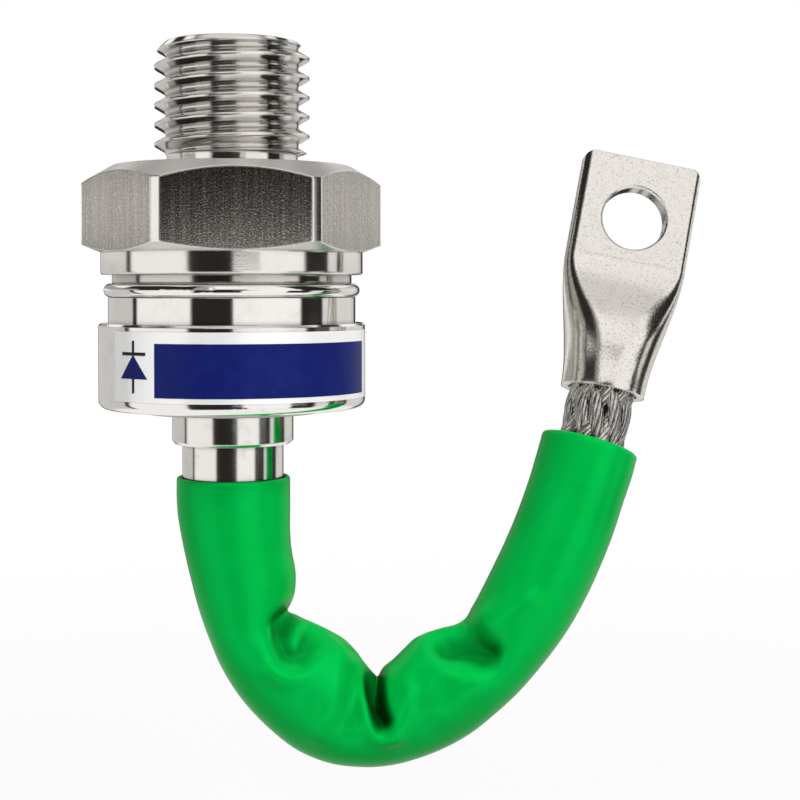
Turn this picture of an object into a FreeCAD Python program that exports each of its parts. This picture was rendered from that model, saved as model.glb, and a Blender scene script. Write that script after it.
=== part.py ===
import FreeCAD, Part

import math
import os

# A stud diode with a flexible lead, in millimetres.
# The threaded stud points up along +Z. The origin is the centre of the hexagon's
# seating face. The lead hangs below in a U and ends in a cable lug on the +X side.

# Stud and its thread
thread_diameter = 20.0
thread_pitch = 2.5
thread_depth = 1.45
thread_flank_angle = 30.0
stud_length = 16.0
stud_tip_diameter = 17.2
neck_diameter = 16.9
neck_length = 1.5
neck_shoulder = 0.5

# Hexagon with its corners turned off
across_flats = 34.0
corner_diameter = 38.6
hexagon_height = 11.0
hexagon_turn = 7.6
seat_diameter = 30.8
seat_chamfer_angle = 30.0
foot_diameter = 33.9
foot_chamfer_angle = 22.0
seat_relief_depth = 0.4
seat_relief_clearance = 0.15

# Band, groove and spigot below the hexagon
band_diameter = 33.8
band_height = 2.9
band_edge = 0.2
groove_diameter = 30.9
groove_height = 1.1
spigot_diameter = 26.0
spigot_length = 1.3
pedestal_length = 0.8

# Steel housing
bead_diameter = 33.0
bead_height = 1.8
shell_diameter = 31.9
shell_wall = 1.3
shell_show = 3.3
cap_wall = 1.2
cap_clearance = 0.05
cap_height = 10.9
cap_end_thickness = 1.1
cap_edge_radius = 1.1
cap_lip_edge = 0.3

# Printed foil label round the cap, as angles from the front, positive to the right
label_thickness = 0.12
label_height = 8.6
label_below_cap_rim = 0.8
label_start_angle = -50.5
label_end_angle = 82.0

# Ceramic ring and stepped terminal tube
insulator_diameter = 24.0
insulator_proud = 0.6
insulator_edge = 0.3
terminal_neck_diameter = 12.6
terminal_inner_reach = 0.3
collar_diameter = 15.7
collar_length = 4.1
collar_edge = 0.4
ferrule_diameter = 13.1
ferrule_length = 8.8
ferrule_edge = 0.3
lead_pocket_above_step = 0.3

# Pressed stack inside the housing
foil_thickness = 0.1
lower_disc_diameter = 20.0
lower_disc_thickness = 2.0
wafer_thickness = 0.4
wafer_bevel = 0.25
upper_disc_diameter = 16.0
upper_disc_thickness = 1.2
post_flange_thickness = 1.6
post_stem_diameter = 8.0
stack_clearance = 0.1
insulating_tube_wall = 0.9
mica_thickness = 0.4
thrust_washer_thickness = 1.0
spring_count = 3
spring_diameter = 24.0
spring_thickness = 0.8
spring_cone = 0.6
stop_ring_bore = 18.0

# Stranded lead, its sleeve and the cable lug
lead_diameter = 9.0
lead_clearance = 0.1
sleeve_wall = 0.7
sleeve_clearance = 0.1
sleeve_overlap = 4.1
sleeve_section_flat = 0.03
lug_barrel_diameter = 11.0
lug_flare_length = 18.0
lug_flatten_from = 6.5
lug_flatten_length = 11.0
lug_length = 32.0
lug_socket_depth = 6.0
palm_width = 16.2
palm_thickness = 3.0
palm_corner_radius = 1.6
lug_hole_diameter = 8.5
lug_hole_from_end = 8.3
lug_hole_chamfer = 0.25
lug_lean = 11.55
lug_pitch = 12.0

V = FreeCAD.Vector
ORIGIN = V(0, 0, 0)
UP = V(0, 0, 1)

# Heights of the faces that the pieces share, from the seating face down
hexagon_foot = -hexagon_height
band_foot = hexagon_foot - band_height
groove_foot = band_foot - groove_height
bead_foot = groove_foot - bead_height
cap_rim = bead_foot - shell_show
cap_end = cap_rim - cap_height
cap_floor = cap_end + cap_end_thickness
insulator_foot = cap_end - insulator_proud
collar_foot = insulator_foot - collar_length
ferrule_foot = collar_foot - ferrule_length
lead_start = collar_foot - lead_pocket_above_step
sleeve_mouth = ferrule_foot + sleeve_overlap
spigot_foot = groove_foot - spigot_length

# Heights of the stack, each piece resting on the one before
pedestal_face = spigot_foot - pedestal_length
lower_foil_face = pedestal_face - foil_thickness
lower_disc_face = lower_foil_face - lower_disc_thickness
wafer_face = lower_disc_face - wafer_thickness
upper_foil_face = wafer_face - foil_thickness
upper_disc_face = upper_foil_face - upper_disc_thickness
flange_face = upper_disc_face - post_flange_thickness
mica_face = flange_face - mica_thickness
thrust_face = mica_face - thrust_washer_thickness
spring_height = spring_thickness + spring_cone
spring_foot = thrust_face - spring_count * spring_height

# Radii that are fits
bead_radius = bead_diameter / 2
shell_radius = shell_diameter / 2
shell_bore = shell_radius - shell_wall
cap_bore = shell_radius + cap_clearance
cap_radius = cap_bore + cap_wall
stem_radius = post_stem_diameter / 2
tube_bore = stem_radius + stack_clearance
tube_radius = tube_bore + insulating_tube_wall
lead_radius = lead_diameter / 2
sleeve_bore = ferrule_diameter / 2 + sleeve_clearance
sleeve_radius = sleeve_bore + sleeve_wall

# The lug's own axis, leaning right and back, and the middle of its mouth
lean = math.radians(lug_lean)
pitch = math.radians(lug_pitch)
lug_axis = V(math.sin(lean) * math.cos(pitch), math.sin(pitch), math.cos(lean) * math.cos(pitch))
lug_mouth = V(48.3, 2.6, -29.3)
lead_in_lug = 5.2
bare_lead_length = 7.2

# The lead's route, chosen by hand: down out of the ferrule, round the U and up to the lug
LEAD_ROUTE = [
    V(0, 0, lead_start),
    V(0, 0, -47.0),
    V(0.7, -0.3, -58.0),
    V(6.4, -0.8, -66.0),
    V(15.5, -1.1, -71.3),
    V(25.0, -1.1, -70.7),
    V(33.2, -0.9, -63.8),
    V(38.8, -0.6, -55.6),
    V(43.1, 0.0, -47.2),
    lug_mouth - lug_axis * bare_lead_length,
    lug_mouth + lug_axis * lead_in_lug,
]

# The crumpled sleeve's sections from the ferrule to the lug, read from the photograph: X and Z of its outer side,
# X and Z of its inner side, Y of its middle, and how far the section leans back in degrees
SLEEVE_SECTIONS = [
    (-sleeve_radius, sleeve_mouth, sleeve_radius, sleeve_mouth, 0.0, 0),
    (-7.4, -42.8, 7.4, -42.8, 0.0, 0),
    (-7.4, -45.0, 7.4, -45.0, 0.0, 0),
    (-6.3, -48.4, 7.35, -47.9, 0.0, 0),
    (-5.7, -51.5, 7.7, -50.4, -0.1, 0),
    (-4.7, -57.0, 8.05, -54.8, -0.25, 0),
    (-3.5, -61.3, 7.3, -57.5, -0.4, 0),
    (-0.4, -66.8, 9.5, -58.7, -0.65, 0),
    (4.0, -71.9, 12.8, -60.4, -0.85, 0),
    (10.0, -75.8, 15.6, -62.2, -1.0, 0),
    (15.4, -77.2, 17.6, -64.2, -1.1, 0),
    (18.9, -77.35, 18.8, -65.5, -1.1, 0),
    (22.3, -76.8, 20.3, -64.0, -1.1, 0),
    (26.5, -75.3, 23.0, -62.1, -1.1, 0),
    (31.6, -72.5, 26.0, -60.0, -1.0, 0),
    (36.6, -68.2, 29.4, -58.9, -0.9, 0),
    (41.1, -62.7, 31.4, -56.4, -0.75, 0),
    (45.0, -56.9, 33.6, -51.9, -0.5, 2),
    (48.4, -49.5, 36.5, -45.6, -0.1, 5),
    (50.7, -43.4, 38.4, -40.2, 0.45, 9),
    (52.5, -38.2, 40.4, -34.5, 1.1, 12),
]


def polar(radius, angle, height=0.0):
    """Point at an angle from the front, positive to the right."""
    turn = math.radians(angle)
    return V(radius * math.sin(turn), -radius * math.cos(turn), height)


def runs_and_arcs(points, radii, closed=False):
    """Wire of straight runs with a tangent arc of the given radius at each point."""
    count = len(points)
    stops = []
    for i, point in enumerate(points):
        is_end = not closed and i in (0, count - 1)
        if is_end or radii[i] == 0:
            stops.append((point, None, point))
            continue
        back = points[i - 1] - point
        ahead = points[(i + 1) % count] - point
        half_angle = back.getAngle(ahead) / 2
        reach = radii[i] / math.tan(half_angle)
        inward = (back * (1 / back.Length) + ahead * (1 / ahead.Length))
        inward = inward * (1 / inward.Length)
        arc_middle = point + inward * (radii[i] / math.sin(half_angle) - radii[i])
        arc_start = point + back * (reach / back.Length)
        arc_end = point + ahead * (reach / ahead.Length)
        stops.append((arc_start, arc_middle, arc_end))
    edges = []
    for i, (arc_start, arc_middle, arc_end) in enumerate(stops):
        if arc_middle is not None:
            edges.append(Part.Arc(arc_start, arc_middle, arc_end).toShape())
        if i == count - 1 and not closed:
            break
        next_start = stops[(i + 1) % count][0]
        if (next_start - arc_end).Length > 1e-6:
            edges.append(Part.LineSegment(arc_end, next_start).toShape())
    return Part.Wire(edges)


def turned(profile, rounds=None):
    """Solid turned about Z from closed (radius, height) points, with named corner rounds."""
    rounds = rounds or {}
    points = [V(radius, 0, height) for radius, height in profile]
    radii = [rounds.get(i, 0) for i in range(len(points))]
    wire = runs_and_arcs(points, radii, closed=True)
    return Part.Face(wire).revolve(ORIGIN, UP, 360)


def ring(bore_radius, outer_radius, top, foot):
    """Plain turned ring, or a disc where the bore is 0."""
    return turned([(bore_radius, top), (outer_radius, top), (outer_radius, foot), (bore_radius, foot)])


def thread_cutter():
    """Helical groove of the stud's thread, running out into the neck and past the tip."""
    crest_radius = thread_diameter / 2
    root_radius = crest_radius - thread_depth
    slope = math.tan(math.radians(thread_flank_angle))
    crest_flat = thread_pitch / 8
    over = crest_flat / 4 / slope
    half_mouth = (thread_pitch - crest_flat) / 2
    half_floor = half_mouth - thread_depth * slope
    root_round = 0.9 * half_floor / math.tan(math.radians(45 - thread_flank_angle / 2))
    profile = runs_and_arcs(
        [
            V(crest_radius + over, 0, half_mouth + over * slope),
            V(root_radius, 0, half_floor),
            V(root_radius, 0, -half_floor),
            V(crest_radius + over, 0, -half_mouth - over * slope),
        ],
        [0, root_round, root_round, 0],
        closed=True,
    )
    start = neck_length - thread_pitch / 2
    profile.translate(V(0, 0, start))
    helix = Part.makeHelix(thread_pitch, stud_length + thread_pitch - start, crest_radius)
    helix.translate(V(0, 0, start))
    sweep = Part.BRepOffsetAPI.MakePipeShell(Part.Wire(helix.Edges))
    sweep.setFrenetMode(True)
    sweep.add(profile)
    sweep.build()
    sweep.makeSolid()
    return sweep.shape()


def stud():
    """Threaded stud with its turned neck, down to the floor of the relief in the seat."""
    crest_radius = thread_diameter / 2
    tip_radius = stud_tip_diameter / 2
    neck_radius = neck_diameter / 2
    outline = turned([
        (0, stud_length),
        (tip_radius, stud_length),
        (crest_radius, stud_length - (crest_radius - tip_radius)),
        (crest_radius, neck_length + neck_shoulder),
        (neck_radius, neck_length),
        (neck_radius, -seat_relief_depth),
        (0, -seat_relief_depth),
    ])
    bar = Part.makeCylinder(crest_radius, stud_length + seat_relief_depth, V(0, 0, -seat_relief_depth))
    return bar.cut(thread_cutter()).common(outline)


def hexagon():
    """Hexagon with a turned chamfer above and below and its corners turned off."""
    circumradius = across_flats / math.sqrt(3)
    corners = [polar(circumradius, hexagon_turn + 30 + 60 * i) for i in range(7)]
    prism = Part.Face(Part.makePolygon(corners)).extrude(V(0, 0, -hexagon_height))
    corner_radius = corner_diameter / 2
    seat_radius = seat_diameter / 2
    foot_radius = foot_diameter / 2
    seat_drop = (corner_radius - seat_radius) * math.tan(math.radians(seat_chamfer_angle))
    foot_rise = (corner_radius - foot_radius) * math.tan(math.radians(foot_chamfer_angle))
    turning = turned([
        (0, 0),
        (seat_radius, 0),
        (corner_radius, -seat_drop),
        (corner_radius, hexagon_foot + foot_rise),
        (foot_radius, hexagon_foot),
        (0, hexagon_foot),
    ])
    relief = ring(0, thread_diameter / 2 + seat_relief_clearance, 0, -seat_relief_depth)
    return prism.common(turning).cut(relief)


def stud_base():
    """Copper stud, hexagon, band and pedestal, forged and turned as one piece."""
    band_radius = band_diameter / 2
    groove_radius = groove_diameter / 2
    spigot_radius = spigot_diameter / 2
    pedestal_radius = lower_disc_diameter / 2
    lower = turned([
        (0, hexagon_foot),
        (band_radius, hexagon_foot),
        (band_radius, band_foot + band_edge),
        (band_radius - band_edge, band_foot),
        (groove_radius, band_foot),
        (groove_radius, groove_foot),
        (spigot_radius, groove_foot),
        (spigot_radius, spigot_foot),
        (pedestal_radius, spigot_foot),
        (pedestal_radius, pedestal_face),
        (0, pedestal_face),
    ])
    return hexagon().fuse([stud(), lower]).removeSplitter()


def weld_ring():
    """Steel ring with a full round rim, brazed round the base's spigot."""
    bore = spigot_diameter / 2
    rim = bead_height / 2
    half = rim * 0.999
    return turned(
        [(bore, groove_foot), (bead_radius, groove_foot), (bead_radius, bead_foot), (bore, bead_foot)],
        {1: half, 2: half},
    )


def housing_shell():
    """Steel tube welded to the ring, with the cap pushed over it."""
    return ring(shell_bore, shell_radius, bead_foot, cap_floor)


def cap():
    """Drawn steel cup that closes the housing, with a hole for the ceramic ring."""
    bore = insulator_diameter / 2
    return turned(
        [
            (cap_bore, cap_rim),
            (cap_radius - cap_lip_edge, cap_rim),
            (cap_radius, cap_rim - cap_lip_edge),
            (cap_radius, cap_end),
            (bore, cap_end),
            (bore, cap_floor),
            (cap_bore, cap_floor),
        ],
        {3: cap_edge_radius},
    )


def label():
    """Foil label wrapped part of the way round the cap."""
    top = cap_rim - label_below_cap_rim
    foot = top - label_height
    outer_radius = cap_radius + label_thickness
    section = Part.Face(Part.makePolygon([
        polar(cap_radius, label_start_angle, top),
        polar(outer_radius, label_start_angle, top),
        polar(outer_radius, label_start_angle, foot),
        polar(cap_radius, label_start_angle, foot),
        polar(cap_radius, label_start_angle, top),
    ]))
    return section.revolve(ORIGIN, UP, label_end_angle - label_start_angle)


def insulator():
    """Ceramic ring that carries the terminal tube in the cap's end."""
    bore = terminal_neck_diameter / 2
    outer = insulator_diameter / 2
    return turned([
        (bore, cap_floor),
        (outer, cap_floor),
        (outer, insulator_foot + insulator_edge),
        (outer - insulator_edge, insulator_foot),
        (bore, insulator_foot),
    ])


def terminal_tube():
    """Stepped tube: a neck through the ceramic, a collar below it and the ferrule."""
    neck_radius = terminal_neck_diameter / 2
    collar_radius = collar_diameter / 2
    ferrule_radius = ferrule_diameter / 2
    top = cap_floor - terminal_inner_reach
    return turned([
        (stem_radius, top),
        (neck_radius, top),
        (neck_radius, insulator_foot),
        (collar_radius, insulator_foot),
        (collar_radius, collar_foot + collar_edge),
        (collar_radius - collar_edge, collar_foot),
        (ferrule_radius, collar_foot),
        (ferrule_radius, ferrule_foot + ferrule_edge),
        (ferrule_radius - ferrule_edge, ferrule_foot),
        (lead_radius + lead_clearance, ferrule_foot),
        (lead_radius + lead_clearance, lead_start),
        (stem_radius, lead_start),
    ])


def contact_post():
    """Copper post whose flange presses on the stack and whose stem fills the terminal tube."""
    flange_radius = upper_disc_diameter / 2
    return turned([
        (0, upper_disc_face),
        (flange_radius, upper_disc_face),
        (flange_radius, flange_face),
        (stem_radius, flange_face),
        (stem_radius, lead_start),
        (0, lead_start),
    ])


def silicon_wafer():
    """Silicon wafer with a bevelled edge."""
    radius = lower_disc_diameter / 2
    return turned([
        (0, lower_disc_face),
        (radius, lower_disc_face),
        (radius - wafer_bevel, wafer_face),
        (0, wafer_face),
    ])


def centring_ring():
    """Plastic ring that keeps the discs and the post on the axis."""
    lower_bore = lower_disc_diameter / 2 + stack_clearance
    upper_bore = upper_disc_diameter / 2 + stack_clearance
    foot = (upper_disc_face + flange_face) / 2
    shoulder = wafer_face - stack_clearance
    return turned([
        (lower_bore, spigot_foot),
        (spigot_diameter / 2 - stack_clearance, spigot_foot),
        (spigot_diameter / 2 - stack_clearance, bead_foot - stack_clearance),
        (shell_bore - stack_clearance, bead_foot - stack_clearance),
        (shell_bore - stack_clearance, foot),
        (upper_bore, foot),
        (upper_bore, shoulder),
        (lower_bore, shoulder),
    ])


def disc_spring(number):
    """One dished spring washer; every other one is turned over."""
    bore = tube_radius + stack_clearance
    outer = spring_diameter / 2
    top = thrust_face - number * spring_height
    foot = top - spring_height
    if number % 2 == 0:
        return turned([(bore, top), (outer, top - spring_cone), (outer, foot), (bore, foot + spring_cone)])
    return turned([(bore, top - spring_cone), (outer, top), (outer, foot + spring_cone), (bore, foot)])


def route_radii(points):
    """Arc radius at each point of a route, as large as its two runs allow."""
    radii = [0]
    for before, point, after in zip(points, points[1:], points[2:]):
        turn = (point - before).getAngle(after - point)
        shorter = min((point - before).Length, (after - point).Length)
        radii.append(0.45 * shorter / math.tan(turn / 2))
    return radii + [0]


def round_cord(points, radii, radius):
    """Cord of a round section along straight runs and arcs."""
    path = runs_and_arcs(points, radii)
    direction = points[1] - points[0]
    cord = path.makePipe(Part.Face(Part.Wire(Part.makeCircle(radius, points[0], direction))))
    return cord, path.Length, math.pi * radius ** 2 * path.Length


def lead_and_sleeve():
    """The stranded lead and its sleeve, on one route."""
    radii = route_radii(LEAD_ROUTE)
    print("lead arc radii", [round(radius, 1) for radius in radii[1:-1]])
    lead, length, expected = round_cord(LEAD_ROUTE, radii, lead_radius)
    print("lead length", round(length, 1), "volume over section times length", round(lead.Volume / expected, 4))
    outside = Part.makeLoft([sleeve_section(station, 0.0) for station in SLEEVE_SECTIONS], True, False)
    bore = [sleeve_section(station, sleeve_wall) for station in SLEEVE_SECTIONS]
    bore.insert(0, bore[0].translated(UP))
    bore.append(bore[-1].translated(lug_axis))
    sleeve = outside.cut(Part.makeLoft(bore, True, False))
    print("sleeve volume", round(sleeve.Volume), "clash with the lead", round(sleeve.common(lead).Volume, 3))
    return lead, sleeve


def sleeve_section(station, inset):
    """Rounded section of the sleeve: as wide as the photograph shows it, and as deep as it was made."""
    outer_x, outer_z, inner_x, inner_z, middle_y, lean_back = station
    outer = V(outer_x, middle_y, outer_z)
    inner = V(inner_x, middle_y, inner_z)
    middle = (outer + inner) * 0.5
    across = inner - outer
    half_width = across.Length / 2 - inset
    half_depth = sleeve_radius - inset
    across = across * (1 / across.Length)
    front = V(0, -1, 0)
    along = across.cross(front)
    lean = math.radians(lean_back)
    forward = front * math.cos(lean) + along * math.sin(lean)
    wide = across * half_width
    deep = forward * half_depth
    corners = [middle + wide + deep, middle - wide + deep, middle - wide - deep, middle + wide - deep]
    radius = min(half_width, half_depth) - sleeve_section_flat
    return runs_and_arcs(corners, [radius] * 4, closed=True)


def lug_section(half_width, half_thickness, height):
    """Rounded section of the lug, round at the barrel and flat with round edges at the palm."""
    flat = 0.05
    radius = min(half_width, half_thickness) - flat
    corners = [
        V(half_width, half_thickness, height),
        V(-half_width, half_thickness, height),
        V(-half_width, -half_thickness, height),
        V(half_width, -half_thickness, height),
    ]
    return runs_and_arcs(corners, [radius] * 4, closed=True)


def eased(share):
    """Smooth step from 0 to 1, flat at both ends."""
    share = min(max(share, 0), 1)
    return share * share * (3 - 2 * share)


def cable_lug():
    """Cable lug pressed from a tube: a round mouth that widens and flattens into a drilled palm."""
    barrel = lug_barrel_diameter / 2
    half_width = palm_width / 2
    half_thickness = palm_thickness / 2
    palm_start = max(lug_flare_length, lug_flatten_from + lug_flatten_length)
    steps = 8
    sections = []
    for i in range(steps + 1):
        height = palm_start * i / steps
        sections.append(lug_section(
            barrel + (half_width - barrel) * eased(height / lug_flare_length),
            barrel + (half_thickness - barrel) * eased((height - lug_flatten_from) / lug_flatten_length),
            height,
        ))
    body = Part.makeLoft(sections, True, False)
    palm = Part.Face(sections[-1]).extrude(V(0, 0, lug_length - palm_start))
    front = runs_and_arcs(
        [
            V(-half_width, -half_thickness, palm_start),
            V(half_width, -half_thickness, palm_start),
            V(half_width, -half_thickness, lug_length),
            V(-half_width, -half_thickness, lug_length),
        ],
        [0, 0, palm_corner_radius, palm_corner_radius],
        closed=True,
    )
    palm = palm.common(Part.Face(front).extrude(V(0, palm_thickness, 0)))
    lug = body.fuse(palm)
    socket = Part.makeCylinder(lead_radius, lug_socket_depth)
    hole_centre = V(0, 0, lug_length - lug_hole_from_end)
    hole_radius = lug_hole_diameter / 2
    hole = Part.makeCylinder(hole_radius, palm_thickness, hole_centre - V(0, half_thickness, 0), V(0, 1, 0))
    wide = hole_radius + lug_hole_chamfer
    for side in (-1, 1):
        face_centre = hole_centre + V(0, side * half_thickness, 0)
        cone = Part.makeCone(wide, hole_radius, lug_hole_chamfer, face_centre, V(0, -side, 0))
        hole = hole.fuse(cone)
    lug = lug.cut([socket, hole])
    lug.Placement = FreeCAD.Placement(lug_mouth, lug_rotation())
    return lug


def lug_rotation():
    """Rotation that lays the lug's own Z on its axis with its palm facing the front."""
    front = V(0, -1, 0)
    normal = front - lug_axis * front.dot(lug_axis)
    back = normal * (-1 / normal.Length)
    return FreeCAD.Rotation(back.cross(lug_axis), back, lug_axis, "ZXY")


def export(parts):
    os.makedirs("parts", exist_ok=True)
    for name, shape in parts.items():
        if not shape.isValid() or len(shape.Solids) != 1:
            print("check", name, "valid", shape.isValid(), "solids", len(shape.Solids))
        shape.Solids[0].exportStep("parts/" + name + ".step")


lead, sleeve = lead_and_sleeve()
parts = {
    "stud_base": stud_base(),
    "weld_ring": weld_ring(),
    "housing_shell": housing_shell(),
    "cap": cap(),
    "label": label(),
    "insulator": insulator(),
    "terminal_tube": terminal_tube(),
    "contact_post": contact_post(),
    "insulating_tube": ring(tube_bore, tube_radius, flange_face, cap_floor - stack_clearance),
    "lower_foil": ring(0, lower_disc_diameter / 2, pedestal_face, lower_foil_face),
    "lower_molybdenum_disc": ring(0, lower_disc_diameter / 2, lower_foil_face, lower_disc_face),
    "silicon_wafer": silicon_wafer(),
    "upper_foil": ring(0, upper_disc_diameter / 2, wafer_face, upper_foil_face),
    "upper_molybdenum_disc": ring(0, upper_disc_diameter / 2, upper_foil_face, upper_disc_face),
    "centring_ring": centring_ring(),
    "mica_washer": ring(tube_radius + stack_clearance, upper_disc_diameter / 2 + 4, flange_face, mica_face),
    "thrust_washer": ring(tube_radius + stack_clearance, upper_disc_diameter / 2 + 4, mica_face, thrust_face),
    "stop_ring": ring(stop_ring_bore / 2, shell_bore, spring_foot, cap_floor),
    "lead": lead,
    "sleeve": sleeve,
    "cable_lug": cable_lug(),
}
for number in range(spring_count):
    parts["disc_spring_" + str(number + 1)] = disc_spring(number)
export(parts)
print("hole centre", lug_mouth + lug_axis * (lug_length - lug_hole_from_end))
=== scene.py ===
"""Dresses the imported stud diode.

Each solid gets its finish. The crumpled sleeve, the plaited lead and the label's print are modelled here.
"""

import math
import random

import bpy
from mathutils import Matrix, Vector


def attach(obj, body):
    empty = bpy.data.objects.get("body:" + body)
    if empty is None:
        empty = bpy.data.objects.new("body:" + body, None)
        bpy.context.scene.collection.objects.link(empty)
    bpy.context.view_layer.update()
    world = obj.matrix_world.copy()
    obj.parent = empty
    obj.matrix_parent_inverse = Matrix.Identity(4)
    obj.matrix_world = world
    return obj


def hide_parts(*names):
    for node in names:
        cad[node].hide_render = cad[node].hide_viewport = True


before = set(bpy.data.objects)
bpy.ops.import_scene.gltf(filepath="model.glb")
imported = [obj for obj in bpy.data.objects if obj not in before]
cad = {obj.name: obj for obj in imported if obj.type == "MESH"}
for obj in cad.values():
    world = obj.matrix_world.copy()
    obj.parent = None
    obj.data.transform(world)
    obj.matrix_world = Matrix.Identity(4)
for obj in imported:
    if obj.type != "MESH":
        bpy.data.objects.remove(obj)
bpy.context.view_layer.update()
scene = bpy.context.scene

MM = 0.001
FRONT = Vector((0, -1, 0))
WHITE = (1.0, 1.0, 1.0, 1.0)
FLOAT = "NodeSocketFloat"
VECTOR = "NodeSocketVector"


# Small helpers for meshes and for shader nodes


def mesh_object(name, points, faces, material):
    """A smooth mesh piece in the row frame; points are in millimetres."""
    mesh = bpy.data.meshes.new(name)
    mesh.from_pydata([Vector(p) * MM for p in points], [], faces)
    mesh.polygons.foreach_set("use_smooth", [True] * len(mesh.polygons))
    mesh.materials.append(material)
    mesh.update()
    made = bpy.data.objects.new(name, mesh)
    scene.collection.objects.link(made)
    return made


def held(value):
    """The value, or the nearest one from 0 to 1."""
    return min(max(value, 0.0), 1.0)


def place(tree, kind, inputs=None, **settings):
    """Adds a node; each input is given a plain value, or the socket that feeds it."""
    made = tree.nodes.new(kind)
    for name, value in settings.items():
        setattr(made, name, value)
    for name, value in (inputs or {}).items():
        if isinstance(value, bpy.types.NodeSocket):
            tree.links.new(value, made.inputs[name])
        else:
            made.inputs[name].default_value = value
    return made


def calc(tree, operation, *values):
    """The result of one Math node."""
    return place(tree, "ShaderNodeMath", dict(enumerate(values)), operation=operation).outputs[0]


def times(tree, first, second):
    """The product of two numbers."""
    return calc(tree, "MULTIPLY", first, second)


def split(tree, vector):
    """The X, Y and Z of a vector."""
    return place(tree, "ShaderNodeSeparateXYZ", {"Vector": vector}).outputs


def point_on_object(tree):
    """Where a point is on the object, in metres."""
    return place(tree, "ShaderNodeTexCoord").outputs["Object"]


def distance_from_axis(tree, axes):
    """How far a point is from the Z axis."""
    squares = calc(tree, "ADD", calc(tree, "POWER", axes["X"], 2.0), calc(tree, "POWER", axes["Y"], 2.0))
    return calc(tree, "SQRT", squares)


def ease(tree, value, start, end):
    """0 before start, 1 after end, smooth between."""
    made = place(
        tree,
        "ShaderNodeMapRange",
        {"Value": value, "From Min": start, "From Max": end},
        interpolation_type="SMOOTHSTEP",
    )
    return made.outputs["Result"]


def between(tree, value, low, high, soft):
    """1 where value is between low and high, with soft edges."""
    rise = ease(tree, value, low - soft, low + soft)
    fall = ease(tree, value, high + soft, high - soft)
    return times(tree, rise, fall)


def mix_colour(tree, factor, first, second):
    """A colour between first and second."""
    made = place(tree, "ShaderNodeMix", {0: factor, 6: first, 7: second}, data_type="RGBA")
    return made.outputs[2]


def mix_value(tree, factor, first, second):
    """A number between first and second."""
    made = place(tree, "ShaderNodeMix", {0: factor, 2: first, 3: second}, data_type="FLOAT")
    return made.outputs[0]


def new_group(name, inputs, outputs):
    """An empty shader node group; returns it with what it is given and what it puts out."""
    tree = bpy.data.node_groups.new(name, "ShaderNodeTree")
    for label, kind, value in inputs:
        tree.interface.new_socket(label, in_out="INPUT", socket_type=kind).default_value = value
    for label, kind in outputs:
        tree.interface.new_socket(label, in_out="OUTPUT", socket_type=kind)
    given = tree.nodes.new("NodeGroupInput")
    result = tree.nodes.new("NodeGroupOutput")
    return tree, given.outputs, result.inputs


def use_group(tree, name, **inputs):
    """Places one of the shared groups in a material."""
    made = tree.nodes.new("ShaderNodeGroup")
    made.node_tree = bpy.data.node_groups[name]
    for label, value in inputs.items():
        made.inputs[label.replace("_", " ")].default_value = value
    return made.outputs


def amount(tree, name, **inputs):
    """The mask that one of the shared groups puts out."""
    return use_group(tree, name, **inputs)["Amount"]


def new_material(name, **plain):
    """A material with its Principled BSDF; plain values go straight on the shader's sockets."""
    material = bpy.data.materials.new(name)
    material.use_nodes = True
    shader = material.node_tree.nodes["Principled BSDF"]
    for label, value in plain.items():
        shader.inputs[label.replace("_", " ")].default_value = value
    material.diffuse_color = shader.inputs["Base Color"].default_value
    return material, material.node_tree, shader


def feed(tree, shader, colour, roughness, normal):
    """Gives the shader what changes over the surface."""
    tree.links.new(colour, shader.inputs["Base Color"])
    tree.links.new(roughness, shader.inputs["Roughness"])
    tree.links.new(normal, shader.inputs["Normal"])


def bump(tree, height, distance, strength=1.0, normal=None):
    """The normal of a surface raised by height times distance."""
    inputs = {"Height": height, "Distance": distance, "Strength": strength}
    if normal is not None:
        inputs["Normal"] = normal
    return place(tree, "ShaderNodeBump", inputs).outputs["Normal"]


# Shared shader effects


def build_grain():
    """Fine random grain, from 0 to 1. Size is in millimetres; a Stretch below 1 draws it out that way."""
    tree, given, result = new_group(
        "fine_grain",
        [("Size", FLOAT, 0.3), ("Stretch", VECTOR, (1.0, 1.0, 1.0)), ("Detail", FLOAT, 2.0)],
        [("Amount", FLOAT)],
    )
    stretched = place(
        tree,
        "ShaderNodeVectorMath",
        {0: point_on_object(tree), 1: given["Stretch"]},
        operation="MULTIPLY",
    )
    noise = place(
        tree,
        "ShaderNodeTexNoise",
        {
            "Vector": stretched.outputs[0],
            "Scale": calc(tree, "DIVIDE", 1.0 / MM, given["Size"]),
            "Detail": given["Detail"],
            "Roughness": 0.55,
        },
    )
    tree.links.new(noise.outputs["Fac"], result["Amount"])


def build_turned_lines():
    """Lines that a lathe or a polishing wheel leaves round the Z axis, from 0 to 1."""
    tree, given, result = new_group(
        "turned_lines", [("Size", FLOAT, 0.15), ("Wander", FLOAT, 1.5)], [("Amount", FLOAT)]
    )
    axes = split(tree, point_on_object(tree))
    scale = calc(tree, "DIVIDE", 1.0 / MM, given["Size"])
    lines = place(
        tree,
        "ShaderNodeCombineXYZ",
        {
            "X": times(tree, distance_from_axis(tree, axes), scale),
            "Y": times(tree, calc(tree, "ARCTAN2", axes["Y"], axes["X"]), given["Wander"]),
            "Z": times(tree, axes["Z"], scale),
        },
    )
    noise = place(
        tree,
        "ShaderNodeTexNoise",
        {"Vector": lines.outputs[0], "Scale": 1.0, "Detail": 3.0, "Roughness": 0.6},
    )
    tree.links.new(noise.outputs["Fac"], result["Amount"])


# Cosines of the turn between the flat and the rounded normal: where an edge begins, and where it is full
EDGE_BEGINS = 0.995
EDGE_IS_FULL = 0.90


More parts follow.
